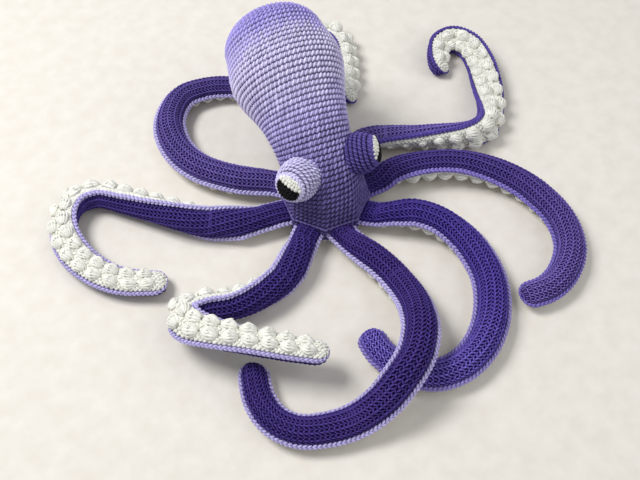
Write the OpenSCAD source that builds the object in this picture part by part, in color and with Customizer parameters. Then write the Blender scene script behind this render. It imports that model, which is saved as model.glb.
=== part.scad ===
// Crocheted octopus toy, lying with its eight stuffed arms in curls round it.
// Millimetres, +Z up. The origin is the middle of the flat panel under the head,
// on the surface that the toy lies on. The face looks along -Y.

/* [Head and mantle] */
// Radius of the head's eight-sided lower edge, to a corner
head_edge_r = 44; // [40:0.5:50]
// Height of that edge above the surface
head_edge_h = 24; // [20:0.5:28]
// Radius of the neck, where the eyes sit
neck_r = 37; // [33:0.5:40]
// Radius of the mantle where it is widest
mantle_r = 56; // [48:0.5:60]
// How far the mantle's axis flops out from the middle of the head
mantle_reach = 130; // [115:1:140]
// Height of the mantle's axis at its far end
mantle_rise = 108; // [100:1:116]
// Length of the mantle's rounded end
mantle_end = 34; // [28:1:48]
// Thickness of the crocheted fabric
fabric_t = 3; // [2:0.1:4]
// Thickness of the panel that closes the head underneath
mouth_t = 4; // [3:0.1:6]
// How far the mantle flops over, as a direction round the head in degrees
mantle_lean = 67.5; // [45:2.5:90]

/* [Eyes] */
// Radius of an eye cup where it is sewn to the head
eye_base_r = 20; // [17:0.5:22]
// Radius of its flat end
eye_face_r = 14; // [11:0.5:16]
// How far the cup stands out of the neck
eye_depth = 21; // [16:0.5:24]
// Thickness of the crocheted pupil and of the white above it
pupil_t = 2; // [1:0.1:3]
// Width of the rim left round the pupil and the white
eye_rim = 1.5; // [1:0.1:3]
// Direction that the face looks in, in degrees
face_turn = -106; // [-120:1:-90]
// Angle from the face to each eye, in degrees
eye_spread = 59; // [52:1:66]
// Angle that the eyes look up, in degrees
eye_tilt = 20; // [12:1:28]
// Angle that the eyelid line slants down towards the face, in degrees
eyelid_slant = 14; // [0:1:40]

/* [Arms] */
// Width of the toy as its arms lie, from bend to bend
lying_w = 517; // [505:1:580]
// Width of an arm between its edgings
arm_w = 28; // [24:0.5:30]
// Height of an arm's stuffed top above the seam
arm_crown = 15; // [12:0.5:17]
// Depth of the white underside below the seam
belly_t = 5; // [4:0.25:6]
// How far the suckers stand out of the underside
sucker_h = 9; // [5:0.25:10]
// Spacing of the suckers along an arm
sucker_pitch = 17; // [14:0.5:20]
// Width of the edging that covers the seams
edging_w = 4; // [3:0.1:5]
// Thickness of the edging
edging_t = 3; // [2:0.1:4]
// Size of an arm's tip as a share of its size at the head
tip_share = 0.8; // [0.7:0.01:1]

/* [Clearances] */
// Gap between pieces that are sewn together
sewn_gap = 0.2; // [0.1:0.05:0.3]
// Gap between the stuffing and the fabric round it
fill_gap = 0.8; // [0.6:0.05:0.9]
// Gap between pieces that move past one another
move_gap = 0.4; // [0.3:0.05:0.6]

/* [Hidden] */
// Each arm has its name, the side of the head that it grows from, the place in its
// list where it is jointed (0 for none), its colour, and the points that its middle
// line passes through: x, y, how high it is stacked (0 on the surface, 1 on another
// arm), and its roll in degrees to the left of its heading. The places are those of a
// toy that lies points_w wide.
points_w = 517;
ARMS = [
    ["right_arm_1", 5, 0, "indigo",
        [[-17, -83, 0, 11], [-19, -114, 0, 13], [-30, -144, 0.35, 8], [-50, -169, 0.85, 0],
         [-74, -185, 1, 0], [-98, -191, 0.9, 0], [-122, -191, 0.45, 0], [-146, -184, 0.05, 0],
         [-169, -172, 0, 0], [-188, -155, 0, 0], [-196, -133, 0, 0], [-192, -110, 0, 0],
         [-180, -90, 0, 0], [-172, -82, 0, 0]]],
    ["right_arm_2", 4, 0, "indigo",
        [[-66, -30, 0, 20], [-95, -37, 0, 48], [-123, -35, 0, 70], [-147, -26, 0.05, 90],
         [-167, -10, 0.2, 108], [-185, -3, 0.4, 132], [-194, -20, 0.7, 165],
         [-185, -46, 0.9, 190], [-168, -73, 0.95, 200], [-147, -103, 0.9, 202],
         [-126, -130, 0.85, 202]]],
    ["right_arm_3", 3, 3, "indigo",
        [[-73, 32, 0, 10], [-107, 66, 0, 58], [-126, 104, 0, 98], [-142, 139, 0, 116],
         [-156, 166, 0, 126], [-178, 177, 0, 135], [-201, 166, 0, 147], [-214, 141, 0, 160],
         [-216, 107, 0, 172], [-204, 71, 0, 180], [-174, 38, 0, 190]]],
    ["right_arm_4", 2, 3, "darkslateblue",
        [[-45, 80, 0, 0], [-63, 119, 0, 0], [-63, 156, 0, 0], [-46, 189, 0, 0],
         [-15, 207, 0, 0], [13, 200, 0, 0], [35, 183, 0, 0], [50, 162, 0, 0]]],
    ["left_arm_1", 6, 0, "indigo",
        [[32, -64, 0.1, 10], [47, -77, 0.15, 12], [59, -101, 0.1, 10], [62, -129, 0, 3],
         [55, -155, 0, 0], [43, -177, 0, 0], [25, -195, 0, 0], [4, -208, 0, 0],
         [-20, -215, 0, 0], [-45, -214, 0, 0], [-67, -203, 0, 0], [-80, -182, 0, 0],
         [-84, -156, 0, 0], [-77, -131, 0, 0]]],
    ["left_arm_2", 7, 4, "slateblue",
        [[72, -25, 0, 16], [100, -43, 0.05, 28], [125, -67, 0.1, 26], [144, -95, 0.05, 14],
         [155, -126, 0, 4], [155, -157, 0, 0], [147, -185, 0, 0], [129, -208, 0, 0],
         [104, -220, 0, 0], [78, -221, 0, 0], [51, -209, 0, 0]]],
    ["left_arm_3", 0, 4, "slateblue",
        [[70, 24, 0, 18], [92, 16, 0, 42], [123, -16, 0, 66], [159, -47, 0, 92],
         [184, -55, 0, 116], [206, -47, 0, 140], [225, -30, 0, 168], [244, -9, 0, 194],
         [260, 12, 0, 210], [271, 36, 0, 218], [267, 56, 0, 222], [249, 61, 0, 222],
         [232, 49, 0, 222], [220, 32, 0, 222]]],
    ["left_arm_4", 1, 0, "slateblue",
        [[37, 75, 0, 10], [62, 106, 0, 40], [95, 137, 0, 90], [129, 164, 0, 140],
         [157, 176, 0, 180], [175, 164, 0, 210], [170, 141, 0, 228], [151, 115, 0, 232],
         [131, 93, 0, 232], [114, 77, 0, 230]]]
];
edging_colour = [0.68, 0.62, 0.88];
white_colour = [0.93, 0.91, 0.86];
stuffing_colour = [0.97, 0.97, 0.95];
skin_colour = [0.55, 0.45, 0.78];
cup_colour = [0.62, 0.54, 0.83];

sides = 8;
side_angle = 360 / sides;
head_side_r = head_edge_r * cos(side_angle / 2);
deep = belly_t + sucker_h;
half_w = arm_w / 2 + sewn_gap + edging_w;
// An arm's ends are rounded about the middle of its thickness, where it hinges.
root_round = (arm_crown + deep) / 2;
middle_n = (arm_crown - deep) / 2;
tip_round = arm_w * tip_share / 2;
root_r = head_side_r + move_gap;
hinge_r = root_r + root_round;
stack_h = arm_crown + deep + move_gap;
// Rings on an arm's round ends, as shares of their radius
end_shares = [0.01, 0.35];
// Steps between two points of a path where lengths are measured, and the step for directions
fine_steps = 6;
small_step = 0.05;
// Share of an arm's length where it starts to taper
taper_from = 0.55;
// Segments of the eyes' round outlines
eye_sides = 48;

// Axis of the head and mantle in the plane that the mantle leans in:
// distance from the middle, height, radius, and how eight-sided the skin is there.
head_points = [
    [0, mouth_t + sewn_gap, head_edge_r, 1],
    [0, head_edge_h, head_edge_r, 1],
    [0.05 * mantle_reach, 0.39 * mantle_rise, (head_edge_r + 2 * neck_r) / 3, 0.3],
    [0.18 * mantle_reach, 0.57 * mantle_rise, neck_r, 0],
    [0.42 * mantle_reach, 0.77 * mantle_rise, neck_r + 0.3 * (mantle_r - neck_r), 0],
    [0.72 * mantle_reach, 0.91 * mantle_rise, mantle_r, 0],
    [mantle_reach, mantle_rise, 0.9 * mantle_r, 0]
];
// Places along the axis, in points of the list: the eyes, and the fold under the mantle
eye_at = 2.7;
split_at = 4;

function unit(v) = v / norm(v);

// Smooth curve through the points p, at u from 0 to len(p) - 1
function spline(p, u) =
    let (
        last = len(p) - 1,
        i = max(0, min(floor(u), last - 1)),
        t = u - i,
        b = p[i],
        c = p[i + 1],
        a = i > 0 ? p[i - 1] : 2 * b - c,
        d = i + 2 <= last ? p[i + 2] : 2 * c - b
    )
    0.5 * (2 * b + (c - a) * t + (2 * a - 5 * b + 4 * c - d) * t * t
        + (3 * b - a - 3 * c + d) * t * t * t);

// Height of an arm's seam over the surface when it lies at a roll
function lie_h(roll) =
    max(
        half_w * abs(sin(roll)) + edging_t / 2 * abs(cos(roll)),
        deep * cos(roll) + arm_w / 4 * abs(sin(roll)),
        norm([arm_w / 2 * sin(roll), arm_crown * min(0, cos(roll))])
    );

function running_length(p) =
    [for (i = 0, s = 0; i < len(p); s = s + norm(p[min(i + 1, len(p) - 1)] - p[i]), i = i + 1) s];

// An arm's path: its points, a table from length to place in the list, its length,
// and the length up to its joint
function arm_path(arm) =
    let (
        turn = (arm[1] + 0.5) * side_angle,
        out = [cos(turn), sin(turn)],
        start = [for (r = [root_r, hinge_r]) [r * out.x, r * out.y, 0, 0]],
        k = lying_w / points_w,
        p = concat(start, [for (q = arm[4]) [k * q[0], k * q[1], q[2], q[3]]]),
        u = [for (i = [0 : (len(p) - 1) * fine_steps]) i / fine_steps],
        s = running_length([for (v = u) seam_at(p, v, 1)])
    )
    [p, [for (i = [0 : len(u) - 1]) [s[i], u[i]]], s[len(s) - 1],
        s[(len(start) - 1 + arm[2]) * fine_steps]];

function seam_at(p, u, size) =
    let (q = spline(p, u))
    [q[0], q[1], lie_h(q[3]) * size + max(0, q[2]) * stack_h];

function taper(share) = 1 - (1 - tip_share) * max(0, share - taper_from) / (1 - taper_from);

// Place, side and top direction of an arm at the length s
function arm_frame(path, s) =
    let (
        last = len(path[0]) - 1,
        u = lookup(s, path[1]),
        size = taper(s / path[2]),
        roll = spline(path[0], u)[3],
        heading = unit(seam_at(path[0], min(last, u + small_step), size)
            - seam_at(path[0], max(0, u - small_step), size)),
        left = unit(cross([0, 0, 1], heading)),
        up = cross(heading, left)
    )
    [seam_at(path[0], u, size), cos(roll) * left - sin(roll) * up, cos(roll) * up + sin(roll) * left];

function round_share(f) = sqrt(max(0, 1 - (1 - f) * (1 - f)));

// A section of an arm at the length s, shrunk where the arm tapers or ends
function arm_ring(path, s, section) =
    let (
        f = arm_frame(path, s),
        size = taper(s / path[2]),
        root = round_share(min(1, s / root_round)),
        tip = round_share(min(1, (path[2] - s) / tip_round))
    )
    [for (q = section)
        f[0] + f[1] * q[0] * size * tip
            + f[2] * size * (middle_n + (q[1] - middle_n) * root * tip)];

// Lengths where an arm has rings, between two lengths, with its round ends if they are in reach
function arm_stops(path, from, to) =
    let (
        a = from > 0 ? from : root_round,
        b = to < path[2] ? to : path[2] - tip_round,
        n = round((b - a) / sucker_pitch),
        last = len(end_shares) - 1
    )
    concat(
        [for (f = end_shares) if (from == 0) f * root_round],
        [for (i = [0 : n]) a + (b - a) * i / n],
        [for (i = [last : -1 : 0]) if (to == path[2]) to - end_shares[i] * tip_round]
    );

// Solid through rings that are each an upper line of n points and a lower line of m
module band(rings, n, m) {
    k = n + m;
    far = (len(rings) - 1) * k;
    // Point of the lower line that lies across from point i of the upper line
    function across(i) = k - 1 - floor(i * (m - 1) / (n - 1) + 0.5);
    cap = [for (i = [0 : n - 2]) each concat(
        [[i, i + 1, across(i)]],
        across(i) == across(i + 1) ? [] : [[i + 1, across(i + 1), across(i)]]
    )];
    walls = [for (j = [0 : len(rings) - 2]) for (i = [0 : k - 1])
        let (
            a = j * k + i,
            b = j * k + (i + 1) % k
        )
        each [[a, a + k, b], [a + k, b + k, b]]];
    polyhedron(
        points = [for (r = rings) each r],
        faces = concat(walls, cap, [for (f = cap) [f[1] + far, f[0] + far, f[2] + far]])
    );
}

// Half-round line from right to left, n points, with half width w and height h over base
function arch(w, h, base, n) =
    [for (i = [0 : n - 1]) [w * cos(180 * i / (n - 1)), base + h * sin(180 * i / (n - 1))]];

function flat_line(w, base, n) = [for (i = [0 : n - 1]) [w - 2 * w * i / (n - 1), base]];

function reversed(p) = [for (i = [len(p) - 1 : -1 : 0]) p[i]];

// First and last length of an arm's base (half 0), end (half 1) or whole (half 2)
function half_span(path, half) =
    half == 2 ? [0, path[2]]
    : half == 0 ? [0, path[3] - move_gap / 2]
    : [path[3] + move_gap / 2, path[2]];

module arm_top(arm, half) {
    path = arm_path(arm);
    span = half_span(path, half);
    n = 5;
    m = 4;
    section = concat(
        arch(arm_w / 2, arm_crown, 0, n),
        reversed(arch(arm_w / 2 - fabric_t, arm_crown - fabric_t, 0, m))
    );
    color(arm[3])
        band([for (s = arm_stops(path, span[0], span[1])) arm_ring(path, s, section)], n, m);
}

// Section of the underside, with its two suckers standing out by a share of their height
function belly(share) =
    let (peak = -belly_t - sucker_h * share)
    [[arm_w / 2, -sewn_gap], [0, -sewn_gap], [-arm_w / 2, -sewn_gap],
        [-arm_w / 4, peak], [0, -belly_t], [arm_w / 4, peak]];

// The underside has a pair of suckers half way between every two rings.
module arm_underside(arm, half) {
    path = arm_path(arm);
    span = half_span(path, half);
    stops = arm_stops(path, span[0], span[1]);
    rings = [for (i = [0 : len(stops) - 1]) each concat(
        [arm_ring(path, stops[i], belly(0))],
        i < len(stops) - 1 && stops[i + 1] - stops[i] > sucker_pitch / 2
            ? [(arm_ring(path, stops[i], belly(1)) + arm_ring(path, stops[i + 1], belly(1))) / 2]
            : []
    )];
    color(white_colour)
        band(rings, 3, 3);
}

// The edging starts where it clears the next arm's, and stops short of the tip's curve.
module arm_edging(arm, half) {
    path = arm_path(arm);
    span = half_span(path, half);
    stops = [for (s = arm_stops(path, span[0], span[1]))
        if (s >= root_round && s <= path[2] - tip_round) s];
    inner = arm_w / 2 + sewn_gap;
    line = [[inner, -edging_t / 2], [half_w, -edging_t / 4], [inner, edging_t / 2], [half_w, edging_t / 4]];
    color(edging_colour)
        for (side = [-1, 1])
            band([for (s = stops)
                arm_ring(path, s, [for (i = side > 0 ? [1, 3, 2, 0] : [0, 2, 3, 1])
                    [side * line[i][0], line[i][1]]])], 2, 2);
}

module arm_stuffing(arm, half) {
    path = arm_path(arm);
    span = half_span(path, half);
    short = max(end_shares);
    stops = [for (s = arm_stops(path, span[0], span[1]))
        if (s >= short * root_round && s <= path[2] - short * tip_round) s];
    n = 4;
    m = 2;
    w = arm_w / 2 - fabric_t - fill_gap;
    h = arm_crown - fabric_t - 2 * fill_gap;
    base = fill_gap / 2;
    section = concat(arch(w, h, fill_gap, n), reversed(flat_line(w, base, m)));
    color(stuffing_colour)
        band([for (s = stops) arm_ring(path, s, section)], n, m);
}

// Ring of the head and mantle at u along their axis, drawn in by inset. It is square to the
// axis, but level where the head is eight-sided.
ring_points = 24;
function head_ring(u, inset) =
    let (
        last = len(head_points) - 1,
        q = spline(head_points, u),
        a = spline(head_points, max(0, u - small_step)),
        b = spline(head_points, min(last, u + small_step)),
        t = unit((1 - q[3]) * unit([b[0] - a[0], b[1] - a[1]]) + [0, q[3]]),
        lean = [cos(mantle_lean), sin(mantle_lean), 0],
        across = [-sin(mantle_lean), cos(mantle_lean), 0]
    )
    [for (i = [0 : ring_points - 1])
        let (
            turn = i * 360 / ring_points,
            corner = cos(side_angle / 2) / cos((turn % side_angle) - side_angle / 2),
            r = (q[2] - inset) * (1 - q[3] + q[3] * corner)
        )
        lean * q[0] + [0, 0, q[1]]
            + r * cos(turn - mantle_lean) * (lean * t[1] - [0, 0, t[0]])
            + r * sin(turn - mantle_lean) * across];

// Ring of the mantle's rounded end, at a share of the way from its last axis point to its top
function end_ring(share, inset) =
    let (
        last = len(head_points) - 1,
        a = spline(head_points, last - small_step),
        b = head_points[last],
        t = unit([b[0] - a[0], b[1] - a[1]]),
        lean = [cos(mantle_lean), sin(mantle_lean), 0],
        ring = head_ring(last, inset),
        middle = lean * b[0] + [0, 0, b[1]],
        out = (lean * t[0] + [0, 0, t[1]]) * (mantle_end - inset) * share
    )
    [for (p = ring) middle + (p - middle) * sqrt(1 - share * share) + out];

// Half of the gap at the fold, as a step along the axis
fold_from = spline(head_points, split_at - small_step);
fold_to = spline(head_points, split_at + small_step);
fold_step = move_gap * small_step / norm([fold_to[0] - fold_from[0], fold_to[1] - fold_from[1]]);
// Places of the rings along the axis, and along the mantle's rounded end, outside and inside
head_steps = [0, 1, 2, 2.5, 3, 3.5, split_at - fold_step];
head_inner_steps = [0, 1, 2, 3, split_at - fold_step];
mantle_steps = [split_at + fold_step, 4.5, 5, 5.5, 6];
mantle_inner_steps = [split_at + fold_step, 5, 6];
end_steps = [0.35, 0.65, 0.88, 0.99];
end_inner_steps = [0.65, 0.98];

function head_rings(steps, inset) = [for (u = steps) head_ring(u, inset)];
function end_rings(steps, inset) = [for (f = steps) end_ring(f, inset)];

// Faces between successive rings of k points, from the ring numbered first
function tube_faces(first, count, k, out) =
    [for (j = [first : first + count - 2]) for (i = [0 : k - 1]) for (half = [0, 1])
        let (
            a = j * k + i,
            b = j * k + (i + 1) % k,
            face = half == 0 ? [a, b, b + k] : [a, b + k, a + k]
        )
        out ? reversed(face) : face];

function cap_faces(first, k, out) =
    [for (i = [1 : k - 2])
        let (face = [first, first + i, first + i + 1])
        out ? reversed(face) : face];

// Fabric skin between an outer and an inner set of rings, closed at the far end or open
module skin(outer, inner, closed) {
    k = ring_points;
    m = len(outer);
    n = len(inner);
    inside = m * k;
    rim = [for (i = [0 : k - 1]) for (half = [0, 1])
        half == 0 ? [i, (i + 1) % k, inside + (i + 1) % k] : [i, inside + (i + 1) % k, inside + i]];
    top_a = (m - 1) * k;
    top_b = inside + (n - 1) * k;
    far_rim = [for (i = [0 : k - 1]) for (half = [0, 1])
        half == 0 ? [top_a + i, top_b + (i + 1) % k, top_a + (i + 1) % k]
        : [top_a + i, top_b + i, top_b + (i + 1) % k]];
    polyhedron(
        points = [for (r = concat(outer, inner)) each r],
        faces = concat(
            tube_faces(0, m, k, true), tube_faces(m, n, k, false), rim,
            closed ? concat(cap_faces(top_a, k, true), cap_faces(top_b, k, false)) : far_rim
        )
    );
}

module solid_form(rings) {
    k = ring_points;
    polyhedron(
        points = [for (r = rings) each r],
        faces = concat(
            tube_faces(0, len(rings), k, true), cap_faces(0, k, false),
            cap_faces((len(rings) - 1) * k, k, true)
        )
    );
}

module head() {
    color(skin_colour)
        skin(head_rings(head_steps, 0), head_rings(head_inner_steps, fabric_t), false);
}

module head_stuffing() {
    color(stuffing_colour)
        solid_form(head_rings(head_inner_steps, fabric_t + fill_gap));
}

module mantle() {
    color(skin_colour)
        skin(
            concat(head_rings(mantle_steps, 0), end_rings(end_steps, 0)),
            concat(head_rings(mantle_inner_steps, fabric_t), end_rings(end_inner_steps, fabric_t)),
            true
        );
}

module mantle_stuffing() {
    color(stuffing_colour)
        solid_form(concat(
            head_rings(mantle_inner_steps, fabric_t + fill_gap),
            end_rings(end_inner_steps, fabric_t + fill_gap)
        ));
}

module mouth_panel() {
    color(white_colour)
        cylinder(h = mouth_t, r = head_edge_r, $fn = sides);
}

// Places an eye's pieces on the neck; side is -1 for the right eye and 1 for the left
module eye_place(side) {
    axis = spline(head_points, eye_at);
    translate([axis[0] * cos(mantle_lean), axis[0] * sin(mantle_lean), axis[1]])
        rotate([0, 90 - eye_tilt, face_turn + side * eye_spread])
            rotate(side * eyelid_slant)
                children();
}

// Space that the head takes up, with the seam's gap
module head_room() {
    solid_form(head_rings(head_steps, -sewn_gap));
}

eye_end = neck_r + eye_depth;
eye_start = neck_r - eye_base_r / 2;
module eye_cup(side) {
    color(cup_colour)
        difference() {
            eye_place(side)
                rotate_extrude($fn = eye_sides)
                    polygon([
                        [eye_base_r, eye_start], [eye_base_r, neck_r], [eye_face_r, eye_end],
                        [0, eye_end], [0, eye_end - fabric_t], [eye_face_r - fabric_t, eye_end - fabric_t],
                        [eye_base_r - fabric_t, neck_r], [eye_base_r - fabric_t, eye_start]
                    ]);
            head_room();
        }
}

module eye_stuffing() {
    inset = fabric_t + fill_gap;
    color(stuffing_colour)
        for (side = [-1, 1])
            difference() {
                eye_place(side)
                    rotate_extrude($fn = eye_sides)
                        polygon([
                            [0, eye_start], [eye_base_r - inset, eye_start], [eye_base_r - inset, neck_r],
                            [eye_face_r - inset, eye_end - inset], [0, eye_end - inset]
                        ]);
                head_room();
            }
}

pupil_r = eye_face_r - eye_rim;
// Height of the eyelid line above the middle of the eye
eyelid = 0.2 * pupil_r;

module eye_disc(side, upper) {
    eye_place(side)
        translate([0, 0, eye_end + sewn_gap / 2])
            linear_extrude(pupil_t)
                intersection() {
                    circle(r = pupil_r, $fn = eye_sides);
                    translate([upper ? -2 * pupil_r - eyelid - sewn_gap : -eyelid, -pupil_r])
                        square(2 * pupil_r);
                }
}

module eye_pupil(side) {
    color([0.05, 0.05, 0.06])
        eye_disc(side, false);
}

module eye_white(side) {
    color(white_colour)
        eye_disc(side, true);
}

EYES = [["right_eye", -1], ["left_eye", 1]];
HALVES = ["_base", "_end", ""];
function halves(arm) = arm[2] > 0 ? [0, 1] : [2];
ARM_PIECES = ["_top", "_underside", "_edging", "_stuffing"];

head();
head_stuffing();
mantle();
mantle_stuffing();
mouth_panel();
eye_stuffing();
for (e = EYES) {
    eye_cup(e[1]);
    eye_white(e[1]);
    eye_pupil(e[1]);
}
for (a = ARMS) for (h = halves(a)) {
    name = str(a[0], HALVES[h]);
    arm_top(a, h);
    arm_underside(a, h);
    arm_edging(a, h);
    arm_stuffing(a, h);
}
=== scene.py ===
# The studio holds the crocheted octopus toy as it lies: a pale floor, a large soft lamp over
# the far left, a weaker one on the near right and an even world. The studio is set out in
# metres, as the frame is.
import math

import bmesh
import bpy
import numpy as np
from mathutils import Matrix, Vector


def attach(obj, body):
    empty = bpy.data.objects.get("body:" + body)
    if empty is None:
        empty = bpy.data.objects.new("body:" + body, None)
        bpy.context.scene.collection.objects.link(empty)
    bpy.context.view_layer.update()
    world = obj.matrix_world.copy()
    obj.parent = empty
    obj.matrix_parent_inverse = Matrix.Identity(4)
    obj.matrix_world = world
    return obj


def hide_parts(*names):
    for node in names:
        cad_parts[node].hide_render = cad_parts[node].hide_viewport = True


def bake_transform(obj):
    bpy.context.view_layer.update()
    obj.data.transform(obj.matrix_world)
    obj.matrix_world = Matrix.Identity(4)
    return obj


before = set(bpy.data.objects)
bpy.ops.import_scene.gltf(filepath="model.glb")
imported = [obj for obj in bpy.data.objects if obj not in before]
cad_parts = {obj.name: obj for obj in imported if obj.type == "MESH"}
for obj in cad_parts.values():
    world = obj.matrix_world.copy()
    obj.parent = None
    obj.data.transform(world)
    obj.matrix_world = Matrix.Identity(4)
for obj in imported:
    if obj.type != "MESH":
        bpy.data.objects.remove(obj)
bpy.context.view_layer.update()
scene = bpy.context.scene
scene.view_settings.view_transform = "Standard"

camera_place = (-0.3578, -0.3507, 0.7101)
camera_looks = (0.38512, 0.38512, -0.83867)
sensor_width = 36
focal_length_px = 850
picture_width_px = 640
camera_data = bpy.data.cameras.new("camera")
camera_data.sensor_width = sensor_width
camera_data.lens = sensor_width * focal_length_px / picture_width_px
camera = bpy.data.objects.new("camera", camera_data)
camera.location = camera_place
camera.rotation_mode = "QUATERNION"
camera.rotation_quaternion = Vector(camera_looks).to_track_quat("-Z", "Y")
scene.collection.objects.link(camera)
scene.camera = camera


def lamp(name, place, size, watts):
    """A square soft lamp that looks at the middle of the toy."""
    data = bpy.data.lights.new(name, "AREA")
    data.size = size
    data.energy = watts
    made = bpy.data.objects.new(name, data)
    made.location = place
    made.rotation_mode = "QUATERNION"
    made.rotation_quaternion = (-Vector(place)).to_track_quat("-Z", "Y")
    scene.collection.objects.link(made)


lamp("key_lamp", place=(-0.55, 0.75, 1.5), size=0.7, watts=24.5)
lamp("fill_lamp", place=(0.6, -1.1, 1.2), size=1.4, watts=7)
sky_colour, sky_strength = (0.95, 0.97, 1, 1), 0.42
scene.world = scene.world or bpy.data.worlds.new("world")
scene.world.use_nodes = True
world_light = scene.world.node_tree.nodes["Background"].inputs
world_light["Color"].default_value = sky_colour
world_light["Strength"].default_value = sky_strength


class Wire:
    """A socket of a material, so that shader maths reads as Python."""

    def __init__(self, tree, socket=None):
        self.tree = tree
        self.socket = socket

    def node(self, kind, settings, inputs, out=0):
        """A new node with its settings and inputs, as the Wire of one of its outputs."""
        made = self.tree.nodes.new(kind)
        for key, value in settings.items():
            if key == "stops":
                while len(made.color_ramp.elements) < len(value):
                    made.color_ramp.elements.new(1)
                for element, (place, colour) in zip(made.color_ramp.elements, value):
                    element.position = place
                    element.color = colour
            else:
                setattr(made, key, value)
        for key, value in inputs.items():
            if isinstance(value, Wire):
                self.tree.links.new(value.socket, made.inputs[key])
            else:
                made.inputs[key].default_value = value
        return Wire(self.tree, made.outputs[out])

    def maths(self, operation, a, b=0.0):
        return self.node("ShaderNodeMath", {"operation": operation}, {0: a, 1: b})

    def __add__(self, other):
        return self.maths("ADD", self, other)

    def __sub__(self, other):
        return self.maths("SUBTRACT", self, other)

    def __rsub__(self, other):
        return self.maths("SUBTRACT", other, self)

    def __mul__(self, other):
        return self.maths("MULTIPLY", self, other)

    __radd__ = __add__
    __rmul__ = __mul__


def paint(red, green, blue):
    """A colour as it looks on a screen, from 0 to 255, as the shader's own numbers."""
    def straight(value):
        value = value / 255
        return value / 12.92 if value <= 0.04045 else ((value + 0.055) / 1.055) ** 2.4
    return straight(red), straight(green), straight(blue), 1


def finish_of(name, roughness, shine):
    """A new material: its Wire for making nodes, its shader's inputs and itself."""
    material = bpy.data.materials.new(name)
    material.use_nodes = True
    inputs = material.node_tree.nodes["Principled BSDF"].inputs
    inputs["Roughness"].default_value = roughness
    inputs["Specular IOR Level"].default_value = shine
    return Wire(material.node_tree), inputs, material


def connect(wire, socket):
    wire.tree.links.new(wire.socket, socket)


floor_half, floor_drop = 4, 0.001
floor_shape = bmesh.new()
bmesh.ops.create_grid(floor_shape, x_segments=1, y_segments=1, size=floor_half)
bmesh.ops.translate(floor_shape, verts=floor_shape.verts, vec=(0, 0, -floor_drop))
floor_mesh = bpy.data.meshes.new("floor")
floor_shape.to_mesh(floor_mesh)
floor_shape.free()
floor = bpy.data.objects.new("floor", floor_mesh)
scene.collection.objects.link(floor)
wires, shader, floor_finish = finish_of("pale_floor", roughness=0.9, shine=0.3)
place = wires.node("ShaderNodeTexCoord", {}, {}, "Object")
grain = wires.node("ShaderNodeTexNoise", {}, {"Vector": place, "Scale": 60.0, "Detail": 3.0})
pale = wires.node(
    "ShaderNodeValToRGB",
    {"stops": [(0.3, paint(222, 216, 206)), (0.7, paint(229, 224, 215))]},
    {"Fac": grain},
)
connect(pale, shader["Base Color"])
floor_mesh.materials.append(floor_finish)

# The head and the mantle are one bag of single crochet, worked in rounds from the eight-sided
# lower edge up, in yarn that changes from dusky purple to pale lilac, and stuffed with fibre.
# Each stitch shows two legs of plied yarn over the shadow between the stitches, deepened by
# # painted shade on the backing.
lean = math.radians(67.5)
side_angle = math.tau / 8
# The toy's own lengths are in millimetres, and mm turns them into the frame's metres
mm = 0.001
mouth_thickness, sewn_gap = 4, 0.2
edge_radius, edge_height, neck_radius, mantle_radius = 44, 24, 37, 56
mantle_reach, mantle_rise, mantle_end = 130, 108, 34
# Axis of the bag: distance from the middle, height, radius, and how eight-sided it is there
head_axis = np.array([
    (0, mouth_thickness + sewn_gap, edge_radius, 1),
    (0, edge_height, edge_radius, 1),
    (0.05 * mantle_reach, 0.39 * mantle_rise, (edge_radius + 2 * neck_radius) / 3, 0.3),
    (0.18 * mantle_reach, 0.57 * mantle_rise, neck_radius, 0),
    (0.42 * mantle_reach, 0.77 * mantle_rise, 0.7 * neck_radius + 0.3 * mantle_radius, 0),
    (0.72 * mantle_reach, 0.91 * mantle_rise, mantle_radius, 0),
    (mantle_reach, mantle_rise, 0.9 * mantle_radius, 0),
])
lean_way = np.array([math.cos(lean), math.sin(lean), 0])
across_way = np.array([-math.sin(lean), math.cos(lean), 0])
upward = np.array([0, 0, 1.0])
small_step = 0.05


def unit(v):
    shortest = 1e-12
    return v / np.maximum(np.linalg.norm(v, axis=-1, keepdims=True), shortest)


def lengths_along(line):
    """The length of a line of points up to each of them."""
    return np.concatenate([[0], np.cumsum(np.linalg.norm(np.diff(line, axis=0), axis=1))])


def spline(points, u):
    """Smooth curve through the points, at places u from 0 to the last point's number."""
    points = np.vstack([2 * points[0] - points[1], points, 2 * points[-1] - points[-2]])
    u = np.asarray(u, float)
    i = np.clip(np.floor(u), 0, len(points) - 4).astype(int)
    t = (u - i)[..., None]
    a, b, c, d = (points[i + k] for k in range(4))
    return 0.5 * (
        2 * b + (c - a) * t + (2 * a - 5 * b + 4 * c - d) * t**2 + (3 * b - a - 3 * c + d) * t**3
    )


def eight_sided(turn):
    """Reach of an eight-sided ring as a share of its corners' radius."""
    return math.cos(side_angle / 2) / np.cos(turn % side_angle - side_angle / 2)


def bag_surface(turn, run, inset=0.0):
    """Points of the bag: turn goes round it in radians, and run up its axis, where the last
    whole step is the mantle's rounded end."""
    last = len(head_axis) - 1
    u = np.minimum(run, last)
    share = np.clip(run - last, 0, 1)[..., None]
    q = spline(head_axis, u)
    ahead = spline(head_axis, np.minimum(u + small_step, last))
    tangent = unit((ahead - spline(head_axis, np.maximum(u - small_step, 0)))[..., :2])
    tangent = unit((1 - q[..., 3:]) * tangent + q[..., 3:] * np.array([0, 1]))
    t0, t1 = tangent[..., :1], tangent[..., 1:]
    radius = ((q[..., 2] - inset) * (1 - q[..., 3] + q[..., 3] * eight_sided(turn)))[..., None]
    away = (turn - lean)[..., None]
    ring = radius * (np.cos(away) * (lean_way * t1 - upward * t0) + np.sin(away) * across_way)
    middle = lean_way * q[..., :1] + upward * q[..., 1:2]
    end = (lean_way * t0 + upward * t1) * (mantle_end - inset) * share
    return middle + ring * np.sqrt(1 - share**2) + end


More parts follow.
